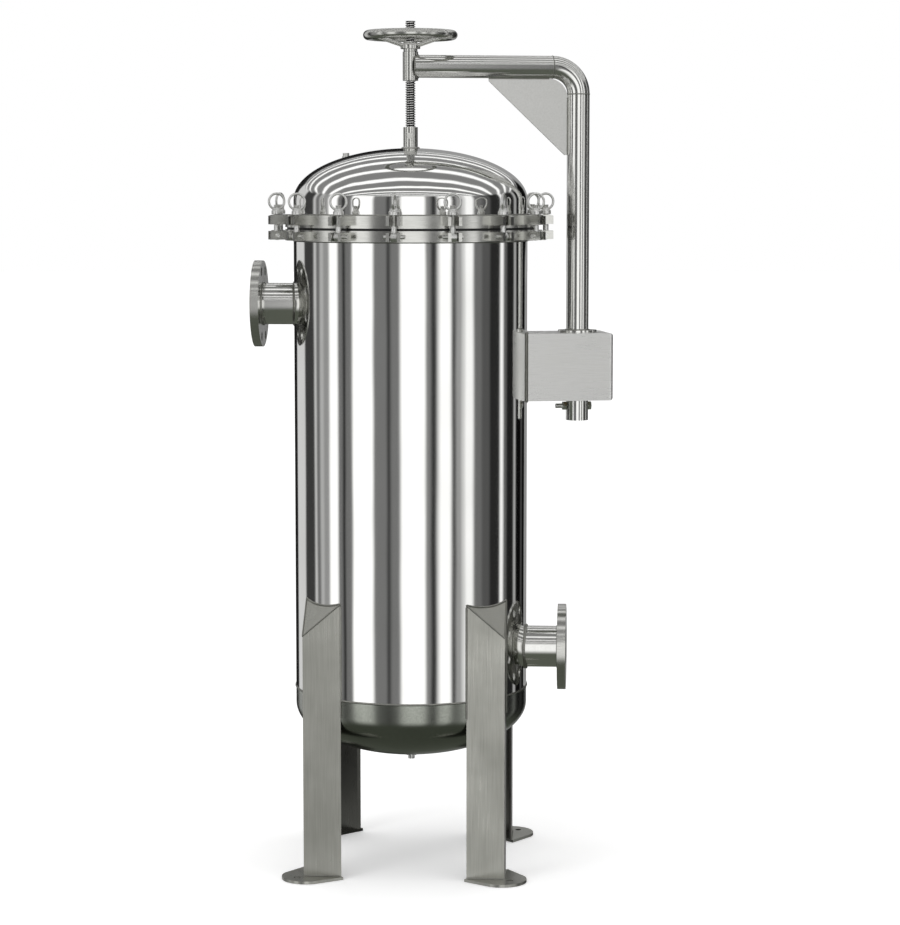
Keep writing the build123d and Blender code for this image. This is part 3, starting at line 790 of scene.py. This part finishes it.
# ------------------------------------------------------------------ lid
@dataclass
class Lid:
    """The domed lid, its stud and its vent. Sizes in millimetres."""

    radius: float = 250.0
    wall: float = 5.0
    bottom: float = 1373.0
    skirt: float = 57.0
    rise: float = 110.0
    flange_top: float = 1399.0
    vent: tuple[float, float] = (-148.0, 94.0)
    vent_radius: float = 8.5
    stud_pad: float = 18.4
    segments: int = 288

    @property
    def spring(self) -> float:
        """The height where the skirt ends and the dome starts."""
        return self.bottom + self.skirt

    def build(self) -> None:
        """Builds and dresses the lid body."""
        self._dome()
        self._welds()
        dress_nodes(["lid_flange"], Finish.TURNED_FLANGE)
        dress_nodes(["lift_stud", "vent_coupling"], Finish.TUMBLED_CASTING)
        LOG.info("lid dressed")

    def _dome(self) -> None:
        """The dished lid: a straight skirt, then half an ellipse, with the vent's hole."""
        mesh = bmesh.new()
        spring = self.spring
        steps = 36
        inside, lower = self.radius - self.wall, self.rise - self.wall
        outer, inner = [(self.radius, self.bottom)], [(inside, self.bottom)]
        for i in range(steps + 1):
            a = math.pi / 2 * i / steps
            outer.append((self.radius * math.cos(a), spring + self.rise * math.sin(a)))
            inner.append((inside * math.cos(a), spring + lower * math.sin(a)))
        outer[-1] = (0.0, outer[-1][1])
        inner[-1] = (0.0, inner[-1][1])
        lathe(mesh, outer + inner[::-1], self.segments, closed=True)
        dome = new_object("polished_dome", mesh, Finish.MIRROR_PLATE)
        tool = bmesh.new()
        r, low, high = self.vent_radius, spring + 50, spring + 130
        profile = [(0, low), (r, low), (r, high), (0, high)]
        lathe(tool, profile, 48, Matrix.Translation((*self.vent, 0)))
        cut(dome, [new_object("vent_hole", tool, Finish.MIRROR_PLATE)])
        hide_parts("lid_dome")
        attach(dome, "lid")

    def _surface(self, x: float, y: float) -> float:
        """Height of the dome's outside over a point."""
        share = 1 - (x * x + y * y) / self.radius**2
        return self.spring + self.rise * math.sqrt(max(share, 0))

    def _welds(self) -> None:
        """The beads at the flange, the stud's pad and the vent."""
        mesh = bmesh.new()
        bead(mesh, ring_path(self.radius + 0.6, self.flange_top, 200), 2.6, True)
        for centre, r in (((0, 0), self.stud_pad), (self.vent, self.vent_radius + 0.4)):
            path = []
            for a in angles(48):
                x, y = centre[0] + r * math.cos(a), centre[1] + r * math.sin(a)
                path.append(Vector((x, y, self._surface(x, y) + 0.3)))
            bead(mesh, path, 1.6, True)
        welds = new_object("lid_welds", mesh, Finish.PICKLED_WELD)
        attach(welds, "lid")


# ------------------------------------------------------------------ closure
@dataclass
class Closure:
    """Fifteen swing bolts with eye nuts. Sizes in millimetres."""

    count: int = 15
    first_deg: float = -92.25
    circle: float = 289.0
    pin_height: float = 1356.0
    nut_height: float = 1400.3
    bolt_top: float = 1420.3
    bolt: float = 6.0
    thread_root: float = 5.0
    thread_pitch: float = 1.75
    pin_bore: float = 4.05
    eye: float = 10.0
    eye_half: float = 7.0
    ring: float = 16.5
    ring_wire: float = 2.5
    ring_height: float = 27.0
    # How far each nut has been left turned.
    turns_deg: tuple[int, ...] = (-2, 72, -50, 24, 15, 8, -25, 50, 15, -60, 30, 75, 4, -25, -59)

    def build(self) -> None:
        """Builds each bolt and nut and sets them on their bodies."""
        for number in range(1, self.count + 1):
            angle = math.radians(self.first_deg + (number - 1) * 360 / self.count)
            place = Matrix.Translation(polar(self.circle, angle))
            across = place @ Matrix.Rotation(angle, 4, "Z")
            self._bolt(number, across)
            turn = Matrix.Rotation(math.radians(self.turns_deg[number - 1]), 4, "Z")
            self._nut(number, across @ turn)
        LOG.info("%d swing bolts and eye nuts set", self.count)

    def _bolt(self, number: int, placing: Matrix) -> None:
        """A swing bolt: forged eye, plain neck and rolled thread.

        Args:
            number: which bolt, from 1.
            placing: the bolt circle's place and outward turn.
        """
        mesh = bmesh.new()
        along_pin = (
            placing
            @ Matrix.Translation((0, 0, self.pin_height))
            @ Matrix.Rotation(math.pi / 2, 4, "X")
        )
        bore, r, half = self.pin_bore, self.eye, self.eye_half
        lower = [(bore, -half), (r - 1, -half), (r, 1 - half)]
        upper = [(r, half - 1), (r - 1, half), (bore, half)]
        lathe(mesh, lower + upper, 36, along_pin, closed=True)
        neck = self.pin_height + 8.0
        thread = self.pin_height + 22.0
        r, root = self.bolt, self.thread_root
        shank = [(0, neck - 2), (r, neck - 2), (r, thread - 1), (root + 0.1, thread), (0, thread)]
        lathe(mesh, shank, 32, placing)
        pitch = self.thread_pitch
        threaded_rod(mesh, r, root, pitch, thread - 0.5, self.bolt_top, 0.0, placing)
        name = f"swing_bolt_{number:02d}"
        bolt = new_object(f"threaded_{name}", mesh, Finish.TUMBLED_CASTING)
        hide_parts(name)
        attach(bolt, f"swing_{number:02d}")

    def _nut(self, number: int, placing: Matrix) -> None:
        """An eye nut: a round base, a waisted neck and a forged ring.

        Args:
            number: which nut, from 1.
            placing: the bolt circle's place and the nut's own turn.
        """
        mesh = bmesh.new()
        at = placing @ Matrix.Translation((0, 0, self.nut_height))
        base = [(6.05, 0.6), (6.6, 0), (10.3, 0), (11, 0.7), (11, 7.2), (10.2, 8)]
        neck = [(9.4, 8.8), (8.8, 10.5), (8.5, 13.2), (7.8, 14), (6.05, 14)]
        lathe(mesh, base + neck, 40, at, closed=True)
        # The ring is open at the bottom, where the bolt comes through the neck.
        path = []
        gap = math.radians(27)
        for i in range(41):
            a = -math.pi / 2 + gap + (2 * math.pi - 2 * gap) * i / 40
            x, z = self.ring * math.cos(a), self.ring_height + self.ring * math.sin(a)
            path.append(at @ Vector((x, 0, z)))
        sweep(mesh, path, lambda _: self.ring_wire, 12)
        name = f"eye_nut_{number:02d}"
        nut = new_object(f"forged_{name}", mesh, Finish.TUMBLED_CASTING)
        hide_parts(name)
        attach(nut, f"nut_{number:02d}")


# ------------------------------------------------------------------ davit
@dataclass
class Davit:
    """The post, arm, lifting screw and handwheel. Sizes in millimetres, X measured along the arm."""

    angle_deg: float = 12.0
    post_x: float = 364.0
    tube: float = 24.15
    arm_height: float = 1713.0
    elbow: float = 57.0
    sleeve: float = 16.5
    shell: float = 250.0
    box_top: float = 1145.0
    box_bottom: float = 1000.0
    box_half: float = 60.0
    gusset_arm_x: float = 169.0
    gusset_foot: float = 1526.0
    gusset_half: float = 3.2
    screw: float = 10.75
    screw_root: float = 8.3
    screw_pitch: float = 5.0
    screw_flat: float = 0.3  # of the pitch
    screw_bottom: float = 1558.0
    screw_top: float = 1808.0
    rim: float = 90.5
    rim_wire: float = 10.0
    rim_height: float = 1778.5
    hub_bottom: float = 1743.5
    hub_top: float = 1764.0
    hub: float = 15.0
    hub_flange: float = 21.0
    spoke: float = 4.5
    spoke_count: int = 3
    spoke_first_deg: float = -25.5

    @property
    def turn(self) -> Matrix:
        """The davit's own turn about the vessel axis."""
        return Matrix.Rotation(math.radians(self.angle_deg), 4, "Z")

    def build(self) -> None:
        """Builds and dresses the davit, screw and wheel bodies."""
        self._screw()
        self._wheel()
        self._welds()
        self._bracket_welds()
        dress_nodes(["davit_post", "davit_elbow", "davit_arm"], Finish.POLISHED_TUBE)
        dress_nodes(["davit_gusset"], Finish.BLASTED_PLATE)
        dress_nodes(["screw_sleeve", "screw_coupler"], Finish.TURNED_FLANGE)
        dress_nodes(["retaining_bolt"], Finish.TUMBLED_CASTING)
        LOG.info("davit dressed")

    def _screw(self) -> None:
        """The lifting screw, with a flat-topped thread over its whole length."""
        mesh = bmesh.new()
        radii = self.screw, self.screw_root
        ends = self.screw_bottom, self.screw_top
        threaded_rod(mesh, *radii, self.screw_pitch, *ends, self.screw_flat, segments=40)
        # Its finish paints shade into the thread's root.
        screw = new_object("threaded_screw", mesh, Finish.ROLLED_THREAD)
        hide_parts("lifting_screw")
        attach(screw, "screw")

    def _wheel(self) -> None:
        """The handwheel: tube rim, three rising spokes and a turned hub."""
        mesh = bmesh.new()
        wire, height = self.rim_wire, self.rim_height
        tube = [(self.rim + wire * math.cos(a), height + wire * math.sin(a)) for a in angles(24)]
        lathe(mesh, tube, 144, closed=True)
        bore, r, wide = self.screw + 0.05, self.hub, self.hub_flange
        low, top = self.hub_bottom, self.hub_top
        foot = [(bore, low), (r - 0.7, low), (r, low + 0.7), (r, low + 5.6), (wide - 0.8, low + 6)]
        disc = [(wide, low + 6.8), (wide, low + 14.2), (wide - 0.8, low + 15), (r + 1, low + 15.6)]
        neck = [(r, low + 17), (r, top - 0.8), (r - 0.8, top), (bore, top)]
        lathe(mesh, foot + disc + neck, 64, closed=True)
        for number in range(self.spoke_count):
            a = math.radians(self.spoke_first_deg + number * 360 / self.spoke_count)
            out = polar(1, a)
            start = out * (r - 1) + Vector((0, 0, low + 12))
            end = out * (self.rim - 3) + Vector((0, 0, self.rim_height - 3))
            path = [start.lerp(end, i / 12) for i in range(13)]
            sweep(mesh, path, lambda _: self.spoke, 16)
        wheel = new_object("spoked_wheel", mesh, Finish.TURNED_FLANGE)
        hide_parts("handwheel")
        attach(wheel, "wheel")

    def _welds(self) -> None:
        """The beads on the davit's own body."""
        mesh = bmesh.new()
        place = self.turn
        post = place @ Matrix.Translation((self.post_x, 0, 0))
        seam = self.arm_height - self.elbow
        bead(mesh, ring_path(self.tube - 0.6, seam, 72, post), 1.4, True)
        bead(mesh, ring_path(self.tube + 0.4, self.box_top + 5, 72, post), 2.2, True)
        across = (
            place
            @ Matrix.Translation((0, 0, self.arm_height))
            @ Matrix.Rotation(math.pi / 2, 4, "Y")
        )
        arm_end = self.post_x - self.elbow
        bead(mesh, ring_path(self.tube - 0.6, arm_end, 72, across), 1.4, True)
        under = self.arm_height - self.tube
        side = self.post_x - self.tube
        for y in (-self.gusset_half, self.gusset_half):
            arm_line = [Vector((self.gusset_arm_x, y, under)), Vector((arm_end - 8, y, under))]
            post_line = [Vector((side, y, seam - 8)), Vector((side, y, self.gusset_foot))]
            for line in (arm_line, post_line):
                bead(mesh, [place @ p for p in line], 2.0)
        # The arm's open end closes on the sleeve, and where it is wider it ends this far out.
        arm_root = 6.5
        around = []
        for a in angles(72):
            y, z = self.tube * math.cos(a), self.arm_height + self.tube * math.sin(a)
            x = max(math.sqrt(max(self.sleeve**2 - y * y, 0)), arm_root)
            around.append(place @ Vector((x, y, z)))
        bead(mesh, around, 1.8, True)
        welds = new_object("davit_welds", mesh, Finish.PICKLED_WELD)
        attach(welds, "davit")

    def _bracket_welds(self) -> None:
        """The bead round the bracket where it meets the shell, which stays with the vessel."""
        mesh = bmesh.new()
        steps = [self.box_half * (1 - i / 6) for i in range(13)]
        top = [Vector((math.sqrt(self.shell**2 - y * y), y, self.box_top)) for y in steps]
        low = [Vector((p.x, p.y, self.box_bottom)) for p in reversed(top)]
        bead(mesh, [self.turn @ p for p in top + low], 3.0, True)
        welds = new_object("bracket_welds", mesh, Finish.PICKLED_WELD)
        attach(welds, "vessel")


# ------------------------------------------------------------------ studio
@dataclass
class Studio:
    """A white room of upright soft boxes and black gaps, which the mirror finish needs to read."""

    camera_deg: float = -85.5
    distance: float = 5.74
    height: float = 1.461
    lens: float = 104.0
    tilt_deg: float = 5.92  # down from level
    turn_deg: float = -0.84  # away from the vessel's axis
    # Azimuth in degrees from the camera, and grey level, of the room as glossy surfaces see it.
    strips: tuple[tuple[float, float], ...] = ()

    def build(self) -> None:
        """Sets the camera, floor, room and lamps."""
        self._camera()
        self._floor()
        self._room()
        self._lamps()
        bpy.context.scene.view_settings.view_transform = "Standard"
        LOG.info("studio set")

    def _camera(self) -> None:
        """A long lens level with the lid's dome, tilted down to the middle of the housing."""
        data = bpy.data.cameras.new("camera")
        data.lens = self.lens
        data.sensor_width = 36.0
        data.clip_end = 100.0
        camera = bpy.data.objects.new("camera", data)
        bpy.context.scene.collection.objects.link(camera)
        a = math.radians(self.camera_deg)
        camera.location = polar(self.distance, a, self.height)
        camera.rotation_euler = (
            math.pi / 2 - math.radians(self.tilt_deg),
            0,
            a + math.pi / 2 + math.radians(self.turn_deg),
        )
        bpy.context.scene.camera = camera

    def _floor(self) -> None:
        """A plain white floor that keeps the shadow."""
        mesh = bmesh.new()
        bmesh.ops.create_circle(mesh, cap_ends=True, segments=96, radius=40.0)
        data = bpy.data.meshes.new("floor")
        mesh.to_mesh(data)
        mesh.free()
        floor = bpy.data.objects.new("floor", data)
        floor.location.z = -0.0005
        bpy.context.scene.collection.objects.link(floor)
        floor.visible_glossy = False
        material, tree = blank_material("white_floor")
        matt = add_node(tree, "BsdfDiffuse", values={"Color": (0.97, 0.97, 0.97, 1)})
        glow = add_node(tree, "Emission", values={"Color": (1, 1, 1, 1), "Strength": 0.22})
        lit = add_node(tree, "AddShader", links={0: matt.outputs[0], 1: glow.outputs[0]})
        ray = add_node(tree, "LightPath")
        seen = add_node(
            tree,
            "MixShader",
            links={0: ray.outputs["Is Camera Ray"], 1: matt.outputs[0], 2: lit.outputs[0]},
        )
        add_node(tree, "OutputMaterial", links={"Surface": seen.outputs[0]})
        data.materials.append(material)

    def _room(self) -> None:
        """The world: white to the camera, soft boxes and gaps to glossy surfaces, level grey else."""
        world = bpy.data.worlds.new("studio")
        bpy.context.scene.world = world
        world.use_nodes = True
        tree = world.node_tree
        tree.nodes.clear()
        where = add_node(tree, "TexCoord")
        turned = add_node(
            tree,
            "Mapping",
            {"vector_type": "POINT"},
            {"Vector": where.outputs["Generated"]},
            {"Rotation": (0, 0, math.radians(-self.camera_deg))},
        )
        split = add_node(tree, "SeparateXYZ", links={0: turned.outputs[0]})
        azimuth = add_node(
            tree, "Math", {"operation": "ARCTAN2"}, {0: split.outputs[1], 1: split.outputs[0]}
        )
        share = add_node(
            tree,
            "MapRange",
            links={"Value": azimuth.outputs[0]},
            values={"From Min": -math.pi, "From Max": math.pi},
        )
        strips = add_node(tree, "FloatCurve", links={"Value": share.outputs[0]})
        curve = strips.mapping.curves[0]
        stops = [((a + 180) / 360, v) for a, v in self.strips]
        curve.points[0].location = (0, stops[0][1])
        curve.points[1].location = (1, stops[-1][1])
        for x, v in stops:
            point = curve.points.new(x, v)
            point.handle_type = "VECTOR"
        strips.mapping.update()
        # Overhead: rows of light boxes some 0.35 m wide and 1 m apart, on a grey ceiling 2 m up.
        up = add_node(tree, "Math", {"operation": "MAXIMUM"}, {0: split.outputs[2]}, {1: 0.05})
        over = add_node(
            tree, "Math", {"operation": "DIVIDE"}, {0: split.outputs[0], 1: up.outputs[0]}
        )
        drift = add_node(
            tree,
            "TexNoise",
            links={"Vector": turned.outputs[0]},
            values={"Scale": 2.2, "Detail": 2.0},
        )
        bent = add_node(tree, "Math", {"operation": "MULTIPLY"}, {0: drift.outputs[0]}, {1: 2.5})
        spread = add_node(
            tree,
            "Math",
            {"operation": "MULTIPLY_ADD"},
            {0: over.outputs[0], 2: bent.outputs[0]},
            {1: 12.0},
        )
        rows = add_node(tree, "Math", {"operation": "SINE"}, {0: spread.outputs[0]})
        ceiling = add_node(
            tree,
            "MapRange",
            {"interpolation_type": "SMOOTHSTEP"},
            {"Value": rows.outputs[0]},
            {"From Min": 0.1, "From Max": 0.98, "To Min": 0.24, "To Max": 1.3},
        )
        high = add_node(
            tree,
            "MapRange",
            {"interpolation_type": "SMOOTHSTEP"},
            {"Value": split.outputs[2]},
            {"From Min": 0.28, "From Max": 0.4},
        )
        walls = add_node(
            tree,
            "Mix",
            {"data_type": "FLOAT"},
            {0: high.outputs[0], 2: strips.outputs[0], 3: ceiling.outputs[0]},
        )
        # Under the horizon the room fades to its grey-green floor.
        low = add_node(
            tree,
            "MapRange",
            {"interpolation_type": "SMOOTHSTEP"},
            {"Value": split.outputs[2]},
            {"From Min": -0.62, "From Max": -0.2},
        )
        glossy = add_node(
            tree,
            "Mix",
            {"data_type": "RGBA"},
            {0: low.outputs[0], 7: walls.outputs[0]},
            {6: linear("#5f635a")},
        )
        plain = add_node(tree, "Background", values={"Color": (1, 1, 1, 1), "Strength": 0.95})
        seen = add_node(
            tree, "Background", links={"Color": glossy.outputs[2]}, values={"Strength": 1.0}
        )
        white = add_node(tree, "Background", values={"Color": (1, 1, 1, 1), "Strength": 1.0})
        ray = add_node(tree, "LightPath")
        metal = add_node(
            tree,
            "MixShader",
            links={0: ray.outputs["Is Glossy Ray"], 1: plain.outputs[0], 2: seen.outputs[0]},
        )
        room = add_node(
            tree,
            "MixShader",
            links={0: ray.outputs["Is Camera Ray"], 1: metal.outputs[0], 2: white.outputs[0]},
        )
        add_node(tree, "OutputWorld", links={"Surface": room.outputs[0]})

    def _lamps(self) -> None:
        """One large soft key from the upper left, kept dim."""
        data = bpy.data.lights.new("key", "AREA")
        data.shape = "RECTANGLE"
        data.size, data.size_y = 1.6, 2.4
        data.energy = 28.0
        lamp = bpy.data.objects.new("key", data)
        bpy.context.scene.collection.objects.link(lamp)
        lamp.location = (-2.6, -3.2, 3.2)
        aim = Vector((0, 0, 0.9)) - lamp.location
        lamp.rotation_euler = aim.to_track_quat("-Z", "Y").to_euler()
        lamp.visible_glossy = False


def room_strips(shell: float, distance: float) -> tuple[tuple[float, float], ...]:
    """The room's upright light boxes and gaps, as azimuth from the camera and linear grey.

    Args:
        shell: the shell's radius, metres.
        distance: how far the camera stands from its axis, metres.

    Returns:
        Stops in rising azimuth; each band is flat with a short soft edge.
    """
    # Where each band starts across the shell, as a share of its half width, and its sRGB level.
    bands = (
        (-1.0, 30), (-0.965, 190), (-0.892, 60), (-0.81, 185), (-0.79, 110),
        (-0.76, 180), (-0.73, 150), (-0.68, 250), (-0.606, 115), (-0.563, 20),
        (-0.545, 115), (-0.485, 252), (-0.312, 120), (-0.199, 45), (-0.173, 120),
        (-0.09, 252), (0.121, 130), (0.165, 50), (0.212, 190), (0.234, 250),
        (0.335, 70), (0.372, 160), (0.42, 195), (0.45, 240), (0.52, 110),
        (0.59, 85), (0.658, 40), (0.745, 235), (0.775, 95), (0.805, 30),
        (0.865, 170), (0.885, 10), (0.93, 70), (0.945, 8), (0.98, 150),
    )
    # Polished steel gives back less than it sees, so the room is brighter than it should look.
    box_from, box_gain, gap_gain = 180, 1.3, 1.05
    soft_edge, last = 1.4, 179.5  # degrees
    stops: list[tuple[float, float]] = []
    for number, (share, level) in enumerate(bands):
        end = bands[number + 1][0] if number + 1 < len(bands) else 1.0
        grey = linear(f"#{level:02x}{level:02x}{level:02x}")[0]
        grey *= box_gain if level > box_from else gap_gain
        for edge, inward in ((share, 1), (end, -1)):
            normal = math.asin(edge)
            nearer = distance - shell * math.sqrt(1 - edge * edge)
            lean = math.atan2(shell * edge, nearer)
            azimuth = 2 * math.degrees(normal) + math.degrees(lean) + inward * soft_edge
            stops.append((max(-last, min(last, azimuth)), grey))
    stops.sort(key=lambda stop: stop[0])
    return tuple(stops)


def main() -> None:
    """Builds every sub-assembly round the frame."""
    logging.basicConfig(level=logging.INFO)
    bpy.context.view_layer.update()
    Vessel().build()
    Lid().build()
    Closure().build()
    Davit().build()
    Studio(strips=room_strips(Vessel.radius * MM, Studio.distance)).build()


if __name__ == "__main__":
    main()
